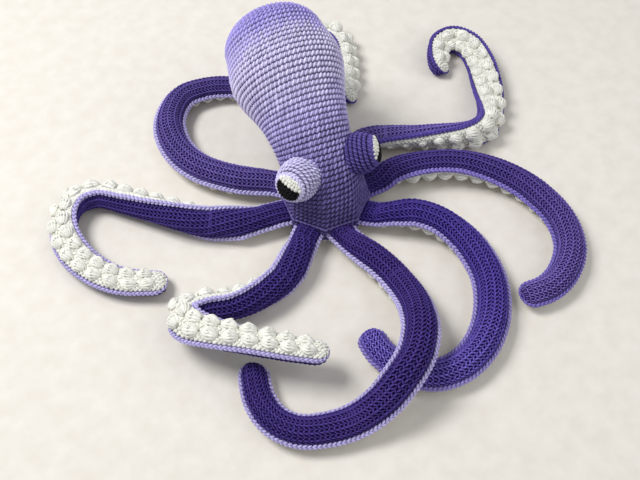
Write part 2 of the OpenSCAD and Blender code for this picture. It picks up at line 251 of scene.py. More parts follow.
def arrays_of(shape):
    """A finished bmesh as an array of points and one of triangles."""
    bmesh.ops.triangulate(shape, faces=shape.faces)
    shape.verts.index_update()
    points = np.array([v.co for v in shape.verts])
    triangles = np.array([[v.index for v in f.verts] for f in shape.faces])
    shape.free()
    return points, triangles


def leg_of_yarn():
    """Points and triangles of one leg of a stitch: a short strand along X, one unit long,
    wide and high, that dips at both ends."""
    dip = 0.7
    shape = bmesh.new()
    bmesh.ops.create_uvsphere(shape, u_segments=6, v_segments=4, radius=0.5)
    bmesh.ops.rotate(shape, verts=shape.verts, matrix=Matrix.Rotation(math.pi / 2, 3, "Y"))
    for vert in shape.verts:
        vert.co.z -= dip * vert.co.x**2
    return arrays_of(shape)


leg_points, leg_triangles = leg_of_yarn()
lit_height = 0.45
unevenness = 0.06
rng = np.random.default_rng(8)


def legs(middle, along, out, size, tone, painted_light=1.0, shade_steepness=1.0):
    """Many legs of yarn, each with its middle, its direction, the way out of the fabric, its
    (length, width, height), its tone from 0 to 1, its painted light, which is how far it stands
    out of the painted shade, and how fast the painted shade deepens down its sides from the lit
    height. The yarn attribute takes up its tone, its random liveliness and its painted light,
    and the strand attribute the place on the leg."""
    count = len(middle)
    along = unit(along)
    across = unit(np.cross(out, along))
    axes = np.stack([along, across, np.cross(along, across)], 1)
    size = np.broadcast_to(np.asarray(size, float), (count, 3))
    jitter = 1 + unevenness * rng.standard_normal((count, 1))
    local = leg_points * (size * jitter)[:, None]
    points = middle[:, None] + np.einsum("nki,nij->nkj", local, axes)
    triangles = leg_triangles + len(leg_points) * np.arange(count)[:, None, None]
    yarn = np.ones((count, len(leg_points), 4))
    yarn[..., 0] = np.broadcast_to(tone, count)[:, None]
    yarn[..., 1] = rng.random(count)[:, None]
    # Painted light: full at the top of each leg, falling into painted shade down its sides.
    yarn[..., 2] = painted_light * np.clip(1 + shade_steepness * (leg_points[:, 2] - lit_height), 0, 1)
    strand = np.broadcast_to(leg_points, points.shape)
    return [a.reshape(-1, a.shape[-1]) for a in (points, triangles, yarn, strand)]


def backing(shape, tone, painted_light=0.0):
    """A bmesh that stands for the fabric under the stitches, in painted shade lifted by its painted
    light.
    """
    liveliness = 0.5
    bmesh.ops.recalc_face_normals(shape, faces=shape.faces)
    points, triangles = arrays_of(shape)
    yarn = np.ones((len(points), 4)) * (tone, liveliness, painted_light, 1)
    return points, triangles, yarn, np.zeros_like(points)


def tube_backing(surface, columns, rows, tone, painted_light=0.0):
    """Backing from a grid that surface(across, along) wraps into a tube, with both from 0 to 1,
    and its ends filled."""
    shape = bmesh.new()
    bmesh.ops.create_grid(shape, x_segments=columns, y_segments=rows, size=0.5)
    grid = np.array([v.co for v in shape.verts]) + 0.5
    for vert, spot in zip(shape.verts, surface(grid[:, 0], grid[:, 1])):
        vert.co = spot
    bmesh.ops.remove_doubles(shape, verts=shape.verts, dist=0.01)
    bmesh.ops.holes_fill(shape, edges=[e for e in shape.edges if e.is_boundary])
    return backing(shape, tone, painted_light)


def piece(name, chunks, finish):
    """One object from chunks of points, triangles, yarn tones and strand places."""
    counts = np.cumsum([0] + [len(c[0]) for c in chunks])
    points = np.vstack([c[0] for c in chunks]) * mm
    triangles = np.vstack([c[1] + first for c, first in zip(chunks, counts)]).astype(np.int32)
    tones = np.vstack([c[2] for c in chunks])
    places = np.vstack([c[3] for c in chunks])
    mesh = bpy.data.meshes.new(name)
    mesh.vertices.add(len(points))
    mesh.vertices.foreach_set("co", points.astype(np.float32).ravel())
    mesh.loops.add(triangles.size)
    mesh.loops.foreach_set("vertex_index", triangles.ravel())
    mesh.polygons.add(len(triangles))
    mesh.polygons.foreach_set("loop_start", np.arange(0, triangles.size, 3, dtype=np.int32))
    yarn = mesh.attributes.new("yarn", "FLOAT_COLOR", "POINT")
    yarn.data.foreach_set("color", tones.astype(np.float32).ravel())
    strand = mesh.attributes.new("strand", "FLOAT_VECTOR", "POINT")
    strand.data.foreach_set("vector", places.astype(np.float32).ravel())
    mesh.update(calc_edges=True)
    mesh.shade_smooth()
    mesh.materials.append(finish)
    made = bpy.data.objects.new(name, mesh)
    scene.collection.objects.link(made)
    return made


multiply = {"data_type": "RGBA", "blend_type": "MULTIPLY"}


def yarn_finish(name, stops, gap_shade):
    """Crocheted yarn: a colour ramp along the yarn's tone, tinted with painted shade down between
    the stitches where its painted light is low, uneven from stitch to stitch, with twisted plies
    whose grooves get painted shade, and a soft nap."""
    plies, ply_slant = 3.0, 0.8
    stitch_shift, patch_shift, shade_curve = 0.06, 0.1, 0.8
    # The spread of random tone from stitch to stitch, the painted shade in the grooves between the
    # plies, and the spread of random tone in the nap.
    stitch_unevenness, ply_groove_shade, nap_unevenness = 0.2, 0.14, 0.4
    wires, shader, material = finish_of(name, roughness=0.75, shine=0.2)
    yarn = wires.node("ShaderNodeAttribute", {"attribute_name": "yarn"}, {}, "Color")
    parts = wires.node("ShaderNodeSeparateColor", {}, {"Color": yarn}).socket.node.outputs
    tone, lively, painted_light = (Wire(wires.tree, parts[k]) for k in ("Red", "Green", "Blue"))
    strand = wires.node("ShaderNodeAttribute", {"attribute_name": "strand"}, {}, "Vector")
    places = wires.node("ShaderNodeSeparateXYZ", {}, {"Vector": strand}).socket.node.outputs
    run, over = (Wire(wires.tree, places[k]) for k in ("X", "Y"))
    twist = wires.maths("SINE", (run + over * ply_slant) * (plies * math.tau)) * 0.5 + 0.5
    spot = wires.node("ShaderNodeTexCoord", {}, {}, "Object")
    nap = wires.node("ShaderNodeTexNoise", {}, {"Vector": spot, "Scale": 1400.0, "Detail": 3.0})
    patches = wires.node("ShaderNodeTexNoise", {}, {"Vector": spot, "Scale": 38.0, "Detail": 2.0})
    shifted = tone + (lively - 0.5) * stitch_shift + (patches - 0.5) * patch_shift
    colour = wires.node("ShaderNodeValToRGB", {"stops": stops}, {"Fac": shifted})
    shade = 1 - wires.maths("POWER", painted_light, shade_curve)
    # Where the painted light is low, the colour is tinted towards its painted shade.
    tinted = wires.node("ShaderNodeMix", multiply, {"Factor": shade, "A": colour, "B": gap_shade}, "Result")
    # Random tone from stitch to stitch and in the nap, and painted shade in the grooves between the
    # plies.
    level = (0.9 + lively * stitch_unevenness) * (0.9 + twist * ply_groove_shade) * (0.8 + nap * nap_unevenness)
    grey = wires.node("ShaderNodeCombineColor", {}, {"Red": level, "Green": level, "Blue": level})
    uneven_and_ply_shaded = wires.node("ShaderNodeMix", multiply, {"Factor": 1.0, "A": tinted, "B": grey}, "Result")
    connect(uneven_and_ply_shaded, shader["Base Color"])
    relief = {"Strength": 0.5, "Distance": 0.4 * mm, "Height": twist * 0.6 + nap * 0.8}
    connect(wires.node("ShaderNodeBump", {}, relief), shader["Normal"])
    return material


row_height, stitch_width, stitch_inset = 5.3, 4.6, 0.9
bag_top = len(head_axis)
bag_front = lean + math.pi


def along_front(count=600):
    """Places up the bag's axis, and the length of its front up to each. The rounds lie evenly
    on the front and crowd together in the fold behind."""
    run = np.linspace(0, bag_top, count)
    return run, lengths_along(bag_surface(np.full(count, bag_front), run))


bag_run, bag_length = along_front()
# The two legs of a stitch: length as a share of the row, width and thickness as shares of the
# stitch, slant to the right, how far it stands out and how far it lies to the left, and its
# painted light, less on the lower leg, which so gets painted shade
stitch_legs = [
    ((1.25, 0.56, 0.7), 0.75, 0.4, 0, 1),
    ((1.15, 0.42, 0.56), 0.6, -0.5, 0.5, 0.72),
]


def stitches(middle, right, up, height, width, tone):
    """The two legs of single crochet stitches in rounds. Both lean to the right: a proud one,
    and a thinner one on its left that lies lower, with less painted light, so in painted shade."""
    right, up = unit(right), unit(up)
    out = np.cross(right, up)
    chunks = []
    for (length, across, thick), slant, over, left, painted_light in stitch_legs:
        size = np.stack(np.broadcast_arrays(length * height, across * width, thick * width), -1)
        spot = middle - left * width * right + over * out
        chunks.append(legs(spot, up + slant * right, out, size, tone, painted_light))
    return chunks


def bag_rounds(first, last):
    """Stitches of the rounds of the bag whose place on the axis is from first to last. Each
    round starts a little to the right of the one below it."""
    chunks = []
    rounds = int(bag_length[-1] / row_height)
    shift, fewest, ring_points, tiny = 0.22, 5, 97, 1e-3
    turn = bag_front + np.linspace(0, math.tau, ring_points)
    for k in range(rounds):
        heights = (k + np.array([0, 0.5, 1])) * bag_length[-1] / rounds
        low, run, high = np.interp(heights, bag_length, bag_run)
        if not first <= run < last:
            continue
        ring = bag_surface(turn, np.full(len(turn), run))
        lengths = lengths_along(ring)
        count = max(fewest, round(lengths[-1] / stitch_width))
        places = (np.arange(count) + shift * k) / count % 1 * lengths[-1]
        spots = np.interp(places, lengths, turn)
        runs = np.full(count, run)
        middle = bag_surface(spots, runs, stitch_inset)
        right = bag_surface(spots + tiny, runs) - bag_surface(spots - tiny, runs)
        up = bag_surface(spots, np.full(count, high)) - bag_surface(spots, np.full(count, low))
        height = np.linalg.norm(up, axis=1)
        tone = (k + 0.5) / rounds
        chunks += stitches(middle, right, up, height, lengths[-1] / count, tone)
    return chunks


def edge_chain():
    """The chain that finishes the head's eight-sided edge, over the roots of the arms."""
    count, edge_at, proud, tilt, tiny = 64, 1.0, 0.3, 0.8, 0.01
    chain_leg, chain_tone = (6.0, 2.4, 2.4), 0.12
    turn = np.arange(count) * math.tau / count
    run = np.full(count, edge_at)
    spot = bag_surface(turn, run, -proud)
    along = bag_surface(turn + tiny, run) - bag_surface(turn - tiny, run)
    out = unit(np.cross(along, upward)) + tilt * upward
    return legs(spot, along, out, chain_leg, chain_tone)


def bag_part(name, first, last):
    """One part of the bag, between two places on its axis."""
    under_inset, columns, rows_a_step = 2.2, 48, 8
    tone = np.interp((first + last) / 2, bag_run, bag_length) / bag_length[-1]

    def under(across, along):
        return bag_surface(across * math.tau, first + along * (last - first), under_inset)

    chunks = bag_rounds(first, last)
    rows = round(rows_a_step * (last - first))
    # The backing between the bag's stitches is painted in deep shade.
    chunks.append(tube_backing(under, columns, rows, tone, painted_light=0.15))
    if first == 0:
        chunks.append(edge_chain())
    made = piece(name, chunks, bag_yarn)
    return made


# The bag's ombre yarn, with its tint of painted shade down between the stitches.
bag_yarn = yarn_finish("ombre_bag_yarn", [
    (0.0, paint(104, 92, 154)),
    (0.2, paint(124, 112, 174)),
    (0.32, paint(160, 150, 208)),
    (0.45, paint(206, 197, 248)),
    (0.57, paint(230, 223, 255)),
    (0.7, paint(230, 223, 255)),
    (0.77, paint(200, 190, 250)),
    (0.84, paint(178, 166, 238)),
    (1.0, paint(166, 153, 228)),
], gap_shade=(0.22, 0.2, 0.32, 1))
neck_from, neck_to = 3.5, 4.5
head_bag = bag_part("head_bag", 0, neck_from)
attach(head_bag, "head")
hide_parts("head", "head_stuffing")
mantle_bag = bag_part("mantle_bag", neck_to, bag_top)
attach(mantle_bag, "mantle")
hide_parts("mantle", "mantle_stuffing")
neck_bag = bag_part("neck_bag", neck_from, neck_to)
neck_turns = np.arange(8) * side_angle
neck_ends = [bag_surface(neck_turns, np.full(8, run)).mean(0) * mm for run in (neck_from, neck_to)]
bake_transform(neck_bag)

# Each eye is a cup worked in rounds, stuffed and sewn to the neck. Its flat end has a rim, a
# black pupil and a white eyelid whose last row hangs over the pupil in scallops.
eye_at = 2.7
face_turn, eye_spread, eye_tilt, eyelid_slant = -106, 59, 20, 14
eye_base_radius, eye_face_radius, eye_depth, eye_rim = 20, 14, 21, 1.5
eye_end = neck_radius + eye_depth
eye_hidden = 9
eye_row, eye_stitch = 4.2, 4.2
mid_tone = 0.5
pupil_radius = eye_face_radius - eye_rim
pupil_bulge, face_fan = 3.2, 0.5
pupil_rounds, pupil_stitch, pupil_leg = (1.6, 4.7, 7.8, 10.9), 3.0, (4.4, 2.7, 2.4)
# Chains of the rim: radius, height over the face, and the slant of their legs
rim_chains = [(eye_face_radius - 0.3, -0.4, 0.5), (pupil_radius + 0.3, 0.6, -0.5)]
rim_stitch, rim_leg = 3.6, (5.0, 2.6, 2.6)
eyelid_line = -0.2 * pupil_radius
# Rows of the eyelid: place down the face, stitch step, and leg size
eyelid_rows = [
    (-11.2, 2.2, (3.6, 2.9, 1.8)),
    (-8.6, 2.4, (4.6, 3.1, 2.0)),
    (-5.4, 3.6, (5.6, 4.1, 2.2)),
]


def bulge(radius):
    """How far the stuffed face swells out at a distance from its middle."""
    return pupil_bulge * (1 - np.minimum(radius / pupil_radius, 1) ** 2)


class EyePlace:
    """Takes an eye's own places, down, across and out of the neck, to the toy's."""

    def __init__(self, side):
        q = spline(head_axis, eye_at)
        self.origin = lean_way * q[0] + upward * q[1]
        turns = (
            Matrix.Rotation(math.radians(face_turn + side * eye_spread), 3, "Z")
            @ Matrix.Rotation(math.radians(90 - eye_tilt), 3, "Y")
            @ Matrix.Rotation(math.radians(side * eyelid_slant), 3, "Z")
        )
        self.turns = np.array(turns)

    def ways(self, v):
        return np.asarray(v, float) @ self.turns.T

    def points(self, v):
        return self.origin + self.ways(v)


def cup_profile(share):
    """Radius and height of a cup's side, from inside the head to the face."""
    fullness = 1.3
    z = neck_radius - eye_hidden + share * (eye_hidden + eye_depth)
    grown = np.clip((z - neck_radius) / eye_depth, 0, 1)
    flare = np.cos(grown**fullness * math.pi / 2)
    return eye_face_radius + (eye_base_radius - eye_face_radius) * flare, z


def ring_of(radius, pitch):
    """Directions of a ring's stitches: outwards and along the ring."""
    fewest = 4
    count = max(fewest, round(math.tau * radius / pitch))
    turn = np.arange(count) * math.tau / count
    flat = np.zeros(count)
    outwards = np.stack([np.cos(turn), np.sin(turn), flat], 1)
    return outwards, np.stack([-np.sin(turn), np.cos(turn), flat], 1)


def cup_chunks(eye):
    """Rounds of a cup's side, and the chain that rims its face."""
    step_ahead, rim_dip, under_inset, under_drop = 0.1, 0.4, 2, 0.3
    rounds = round((eye_hidden + eye_depth) / eye_row)
    chunks = []
    for k in range(rounds):
        radius, z = cup_profile((k + 0.5) / rounds)
        ahead, z_ahead = cup_profile((k + 0.5 + step_ahead) / rounds)
        outwards, along = ring_of(radius, eye_stitch)
        rise = outwards * (ahead - radius) + upward * (z_ahead - z)
        middle = eye.points(outwards * (radius - stitch_inset) + upward * z)
        chunks += stitches(middle, eye.ways(along), eye.ways(rise), eye_row, eye_stitch, mid_tone)
    for radius, over, slant in rim_chains:
        outwards, along = ring_of(radius, rim_stitch)
        middle = eye.points(outwards * radius + upward * (eye_end + over))
        way = eye.ways(along + slant * (outwards - rim_dip * upward))
        out = eye.ways(outwards + upward)
        chunks.append(legs(middle, way, out, rim_leg, mid_tone))

    def under(across, along):
        radius, z = cup_profile(along)
        turn = across * math.tau
        ring = np.stack([np.cos(turn), np.sin(turn)], 1) * (radius - under_inset)[:, None]
        return eye.points(np.column_stack([ring, z - under_drop]))

    chunks.append(tube_backing(under, columns=32, rows=8, tone=mid_tone))
    return chunks


def face_backing(eye, lower):
    """The face's disc below or above the eyelid line, a little under its stitches."""
    thickness = 0.5
    shape = bmesh.new()
    bmesh.ops.create_circle(shape, cap_ends=True, segments=48, radius=pupil_radius)
    bmesh.ops.bisect_plane(
        shape, geom=shape.verts[:] + shape.edges[:] + shape.faces[:], dist=1e-4,
        plane_co=(eyelid_line, 0, 0), plane_no=(1, 0, 0), clear_inner=lower, clear_outer=not lower,
    )
    bmesh.ops.poke(shape, faces=shape.faces[:])
    walls = bmesh.ops.extrude_face_region(shape, geom=shape.faces[:])
    for vert in walls["geom"]:
        if isinstance(vert, bmesh.types.BMVert):
            vert.co.z += thickness + bulge(vert.co.xy.length)
    # The face's backing is painted in part shade.
    points, triangles, yarn, strand = backing(shape, mid_tone, painted_light=0.4)
    return eye.points(points + upward * eye_end), triangles, yarn, strand


def pupil_chunks(eye):
    """Rounds of black stitches below the eyelid line and a little way under the lid."""
    tucked, over, slant = 2.5, 1, 0.6
    chunks = [face_backing(eye, lower=True)]
    for radius in pupil_rounds:
        outwards, along = ring_of(radius, pupil_stitch)
        keep = outwards[:, 0] * radius > eyelid_line - tucked
        outwards, along = outwards[keep], along[keep]
        middle = eye.points(outwards * radius + upward * (eye_end + over + bulge(radius)))
        out = eye.ways(upward + face_fan * outwards * radius / pupil_radius)
        way = eye.ways(outwards + slant * along)
        chunks.append(legs(middle, way, out, pupil_leg, mid_tone))
    return chunks


def eyelid_chunks(eye):
    """Rows of white stitches above the eyelid line, the lowest in scallops over the pupil."""
    margin, over, lid_way = 0.4, 1.4, (1.0, 0.1, 0.15)
    chunks = [face_backing(eye, lower=False)]
    for x, step, size in eyelid_rows:
        reach = math.sqrt(pupil_radius**2 - x**2) - margin
        y = np.linspace(-reach, reach, max(2, round(2 * reach / step) + 1))
        z = eye_end + over + bulge(np.hypot(x, y))
        middle = np.stack([np.full(len(y), x), y, z], 1)
        out = upward + face_fan * middle * (1, 1, 0) / pupil_radius
        way = np.broadcast_to(lid_way, middle.shape)
        chunks.append(legs(eye.points(middle), eye.ways(way), eye.ways(out), size, mid_tone))
    return chunks


# Tints of painted shade down between the stitches of white and of black yarn.
white_gap_shade = (0.9, 0.9, 0.88, 1)
white_yarn = yarn_finish(
    "white_yarn", [(0.0, paint(236, 235, 226)), (1.0, paint(241, 241, 233))], gap_shade=white_gap_shade
)
black_yarn = yarn_finish(
    "black_yarn", [(0.0, paint(16, 15, 18)), (1.0, paint(24, 22, 26))], gap_shade=(0.4, 0.4, 0.45, 1)
)
# Each cup's colours, and its tint of painted shade down between the stitches.
cup_yarns = {
    "right": ([(0.0, paint(224, 218, 254)), (1.0, paint(228, 222, 255))], (0.26, 0.24, 0.36, 1)),
    "left": ([(0.0, paint(98, 85, 158)), (1.0, paint(104, 91, 164))], (0.24, 0.18, 0.36, 1)),
}
for label, side in (("right", -1), ("left", 1)):
    eye = EyePlace(side)
    cup_stops, cup_gap_shade = cup_yarns[label]
    cup_yarn = yarn_finish(f"{label}_cup_yarn", cup_stops, cup_gap_shade)
    cup = piece(f"{label}_eye_cup_stitches", cup_chunks(eye), cup_yarn)
    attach(cup, "head")
    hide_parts(f"{label}_eye_cup", *(["eye_stuffing"] if label == "right" else []))
    pupil = piece(f"{label}_eye_pupil_stitches", pupil_chunks(eye), black_yarn)
    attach(pupil, "head")
    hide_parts(f"{label}_eye_pupil")
    lid = piece(f"{label}_eyelid_stitches", eyelid_chunks(eye), white_yarn)
    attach(lid, "head")
    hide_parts(f"{label}_eye_white")

# The panel that closes the head underneath is an eight-sided disc of white crochet, worked in
# rounds from the middle and sewn in between the roots of the arms.
panel_row, panel_stitch = 4.4, 4.3
panel_stitch_height, panel_bottom, panel_top_gap, panel_margin = 1.5, 1.8, 0.1, 1
panel_depth = mouth_thickness - panel_top_gap - panel_bottom
panel = bmesh.new()
bmesh.ops.create_circle(panel, cap_ends=True, segments=8, radius=edge_radius - panel_margin)
bmesh.ops.translate(panel, verts=panel.verts, vec=(0, 0, panel_bottom))
panel_walls = bmesh.ops.extrude_face_region(panel, geom=panel.faces[:])
panel_top = [v for v in panel_walls["geom"] if isinstance(v, bmesh.types.BMVert)]
bmesh.ops.translate(panel, verts=panel_top, vec=(0, 0, panel_depth))
# The panel's backing is painted in full shade.
panel_chunks = [backing(panel, tone=0.3)]
for k in range(int(edge_radius / panel_row)):
    panel_radius = (k + 0.5) * panel_row
    outwards, along = ring_of(panel_radius, panel_stitch)
    turn = np.arctan2(outwards[:, 1], outwards[:, 0])
    reach = (panel_radius * eight_sided(turn))[:, None]
    middle = outwards * reach + upward * panel_stitch_height
    panel_chunks += stitches(middle, along, outwards, panel_row, panel_stitch, tone=0.6)
mouth = piece("mouth_panel_stitches", panel_chunks, white_yarn)
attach(mouth, "head")
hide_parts("mouth_panel")

# Each arm is a flat tube of crochet, stuffed firm and sewn under the head's edge. Its top is
# worked along the arm in rows of purple yarn, which show as ridges with slanted posts between.

# The side of the head that each arm is sewn to, the point of its route where it has a joint (0 for
# none), and the route of its solids: x, y, how high it is stacked, and its roll
arm_routes = {
    "right_arm_1": (5, 0, [
        (-17, -83, 0, 11), (-19, -114, 0, 13), (-30, -144, 0.35, 8), (-50, -169, 0.85, 0),
        (-74, -185, 1, 0), (-98, -191, 0.9, 0), (-122, -191, 0.45, 0), (-146, -184, 0.05, 0),
        (-169, -172, 0, 0), (-188, -155, 0, 0), (-196, -133, 0, 0), (-192, -110, 0, 0),
        (-180, -90, 0, 0), (-172, -82, 0, 0)]),
    "right_arm_2": (4, 0, [
        (-66, -30, 0, 20), (-95, -37, 0, 48), (-123, -35, 0, 70), (-147, -26, 0.05, 90),
        (-167, -10, 0.2, 108), (-185, -3, 0.4, 132), (-194, -20, 0.7, 165),
        (-185, -46, 0.9, 190), (-168, -73, 0.95, 200), (-147, -103, 0.9, 202),
        (-126, -130, 0.85, 202)]),
    "right_arm_3": (3, 3, [
        (-73, 32, 0, 10), (-107, 66, 0, 58), (-126, 104, 0, 98), (-142, 139, 0, 116),
        (-156, 166, 0, 126), (-178, 177, 0, 135), (-201, 166, 0, 147), (-214, 141, 0, 160),
        (-216, 107, 0, 172), (-204, 71, 0, 180), (-174, 38, 0, 190)]),
    "right_arm_4": (2, 3, [
        (-45, 80, 0, 0), (-63, 119, 0, 0), (-63, 156, 0, 0), (-46, 189, 0, 0),
        (-15, 207, 0, 0), (13, 200, 0, 0), (35, 183, 0, 0), (50, 162, 0, 0)]),
    "left_arm_1": (6, 0, [
        (32, -64, 0.1, 10), (47, -77, 0.15, 12), (59, -101, 0.1, 10), (62, -129, 0, 3),
        (55, -155, 0, 0), (43, -177, 0, 0), (25, -195, 0, 0), (4, -208, 0, 0),
        (-20, -215, 0, 0), (-45, -214, 0, 0), (-67, -203, 0, 0), (-80, -182, 0, 0),
        (-84, -156, 0, 0), (-77, -131, 0, 0)]),
    "left_arm_2": (7, 4, [
        (72, -25, 0, 16), (100, -43, 0.05, 28), (125, -67, 0.1, 26), (144, -95, 0.05, 14),
        (155, -126, 0, 4), (155, -157, 0, 0), (147, -185, 0, 0), (129, -208, 0, 0),
        (104, -220, 0, 0), (78, -221, 0, 0), (51, -209, 0, 0)]),
    "left_arm_3": (0, 4, [
        (70, 24, 0, 18), (92, 16, 0, 42), (123, -16, 0, 66), (159, -47, 0, 92),
        (184, -55, 0, 116), (206, -47, 0, 140), (225, -30, 0, 168), (244, -9, 0, 194),
        (260, 12, 0, 210), (271, 36, 0, 218), (267, 56, 0, 222), (249, 61, 0, 222),
        (232, 49, 0, 222), (220, 32, 0, 222)]),
    "left_arm_4": (1, 0, [
        (37, 75, 0, 10), (62, 106, 0, 40), (95, 137, 0, 90), (129, 164, 0, 140),
        (157, 176, 0, 180), (175, 164, 0, 210), (170, 141, 0, 228), (151, 115, 0, 232),
        (131, 93, 0, 232), (114, 77, 0, 230)]),
}
arm_half, arm_crown, belly_depth, sucker_height = 14, 15, 5, 9
sucker_pitch, edging_width, edging_thickness = 17, 4, 3
move_gap = 0.4
deep = belly_depth + sucker_height
arm_reach = arm_half + sewn_gap + edging_width
stack_height = arm_crown + deep + move_gap
root_round = (arm_crown + deep) / 2
middle_height = (arm_crown - deep) / 2
tip_share, taper_from = 0.8, 0.55
tip_round = arm_half * tip_share
tip_clear = 1
root_radius = edge_radius * math.cos(side_angle / 2) + move_gap
root_width, root_crown, root_crown_run = 0.88, 0.66, 2.5 * root_round
belly_swell, belly_squareness = 8, 0.5


def lie_height(roll):
    """Height of an arm's seam over the floor when it lies at a roll."""
    sin, cos = np.sin(roll), np.cos(roll)
    return np.maximum.reduce([
        arm_reach * np.abs(sin) + edging_thickness / 2 * np.abs(cos),
        deep * cos + arm_half / 2 * np.abs(sin),
        np.hypot(arm_half * sin, arm_crown * np.minimum(0, cos)),
    ])


class ArmLine:
    """The middle line of an arm's seam, measured along it, and places on sections across it."""

    def __init__(self, side, joint, points):
        turn = (side + 0.5) * side_angle
        ends = (root_radius, root_radius + root_round)
        start = [(r * math.cos(turn), r * math.sin(turn), 0, 0) for r in ends]
        self.points = np.array(start + points, float)
        fine = 40
        self.u = np.arange((len(self.points) - 1) * fine + 1) / fine
        self.s = lengths_along(self.seam(self.u, size=1))
        self.length = self.s[-1]
        self.joint = self.s[(joint + len(start) - 1) * fine] if joint else None
        no_pull = [0, 1], [0, 0]
        self.pull = {1: no_pull, -1: no_pull}
        self.pull = self.straighten()

    def seam(self, u, size):
        q = spline(self.points, u)
        height = lie_height(np.radians(q[..., 3])) * size + np.maximum(0, q[..., 2]) * stack_height
        return np.stack([q[..., 0], q[..., 1], height], -1)

    def taper(self, s):
        return 1 - (1 - tip_share) * np.maximum(0, s / self.length - taper_from) / (1 - taper_from)

    def tip(self, s):
        left = np.clip((self.length - s) / tip_round, 0, 1)
        return np.sqrt(np.maximum(0, 1 - (1 - left) ** 2))

    def root(self, s, drawn, reach):
        """An arm is drawn in at its root, where it is sewn under the head's edge."""
        grown = np.clip(s / reach, 0, 1)
        return drawn + (1 - drawn) * grown * (2 - grown)

    def straighten(self):
        """How far each edge is pulled in near the root, so that it leaves the head straight
        where the middle line turns."""
        straight_run, most_pull = 45, 9
        s = np.linspace(0, straight_run, straight_run + 1)
        pull = {}
        for side in (1, -1):
            edge = self.at(s, side * arm_reach, 0)[:, :2]
            chord = unit(edge[-1] - edge[0])
            outward = side * np.array([-chord[1], chord[0]])
            beyond = np.maximum(0, (edge - edge[0]) @ outward)
            pull[side] = (s, np.minimum(beyond, most_pull) / arm_reach)
        return pull

    def at(self, s, b, n):
        """Points at lengths s along the arm, b to the side and n over the seam."""
        s, b, n = np.broadcast_arrays(np.asarray(s, float), b, n)
        last = len(self.points) - 1
        u = np.interp(s, self.s, self.u)
        size = self.taper(np.clip(s, 0, self.length))
        tip = self.tip(s)
        roll = np.radians(spline(self.points, u)[..., 3:])
        ahead = self.seam(np.minimum(u + small_step, last), size)
        heading = unit(ahead - self.seam(np.maximum(u - small_step, 0), size))
        left = unit(np.cross(upward, heading))
        up = np.cross(heading, left)
        side = np.cos(roll) * left - np.sin(roll) * up
        top = np.cos(roll) * up + np.sin(roll) * left
        beyond = heading * np.minimum(s, 0)[..., None]
        pulled = np.where(b > 0, *(np.interp(s, *self.pull[k], right=0) for k in (1, -1)))
        width = (size * tip * b * self.root(s, root_width, root_round) * (1 - pulled))[..., None]
        crown = np.where(n > 0, self.root(s, root_crown, root_crown_run), 1)
        height = (size * (middle_height + (n * crown - middle_height) * tip))[..., None]
        return self.seam(u, size) + beyond + side * width + top * height

    def stitch_size(self, s):
        """Stitches shrink with the taper, and are drawn together at the tip."""
        tip_size = 0.5
        return (self.taper(s) * (tip_size + (1 - tip_size) * self.tip(s)))[:, None]

    def stretches(self):
        """Names of the arm's stretches with their first and last length, for the joints."""
        start, root, bend = -2, 28, 20
        if self.joint is None:
            return [("root", start, root), ("arm", root, self.length)]
        bend_from, bend_to = self.joint - bend, self.joint + bend
        return [
            ("root", start, root),
            ("base", root, bend_from),
            ("bend", bend_from, bend_to),
            ("end", bend_to, self.length),
        ]


arm_lines = {name: ArmLine(*facts) for name, facts in arm_routes.items()}


def arm_section(angle, inset):
    """Side and height of an arm's surface at an angle round its seam: the arched top up to half
    a turn, and from there the underside, which the stuffing pushes out between the suckers."""
    b = (arm_half - inset) * math.cos(angle)
    if angle <= math.pi:
        return b, (arm_crown - inset) * math.sin(angle)
    return b, -(belly_swell - inset) * abs(math.sin(angle)) ** belly_squareness


def ways_on(line, s, angle, inset):
    """Places on an arm's surface, and the ways along it, across it and out of it."""
    b, n = arm_section(angle, inset)
    b_next, n_next = arm_section(angle + small_step, inset)
    middle = line.at(s, b, n)
    along = unit(line.at(s + small_step, b, n) - line.at(s - small_step, b, n))
    across = unit(line.at(s, b_next, n_next) - middle)
    return middle, along, across, np.cross(across, along)


def mount_stretch(made, name, stretch, kinds):
    """Sets the base, the end or the whole arm on its body, where it stands for the solids of that
    length; the root and the bend are baked where they are built.
    """
    part, first, last = stretch
    margin = 4
    ends = [arm_lines[name].at(s, 0, 0) * mm for s in (max(first, 0) + margin, last - margin)]
    if part == "root":
        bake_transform(made)
    elif part == "bend":
        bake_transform(made)
    else:
        half = "" if part == "arm" else f"_{part}"
        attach(made, f"{name}_end" if part == "end" else name)
        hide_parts(*(f"{name}{half}_{kind}" for kind in kinds))


def arm_steps(line, first, last, pitch, shift):
    """Lengths of the stitches of one row of an arm that lie from first to last."""
    reach = line.length - tip_clear
    count = round(reach / pitch)
    s = (np.arange(-1, count) + 0.5 + shift) * reach / count
    return s[(s >= first) & (s < last)]


top_rows, arm_stitch, seam_margin = 12, 4.1, 0.02
# The last of these is how fast the painted shade deepens down the sides of the top's legs.
row_slant, post_slant, top_shade_steepness = 0.25, 0.75, 2.2
# Legs of the top: how far they stand out of it, their size, and their painted light, less on the
# # grooves and posts, which get a little painted shade
ridge_leg = 0.6, (5.8, 2.0, 2.3), 1
groove_leg = -0.1, (5.0, 1.3, 1.9), 0.8
post_leg = -0.2, (5.2, 1.9, 2.3), 0.9


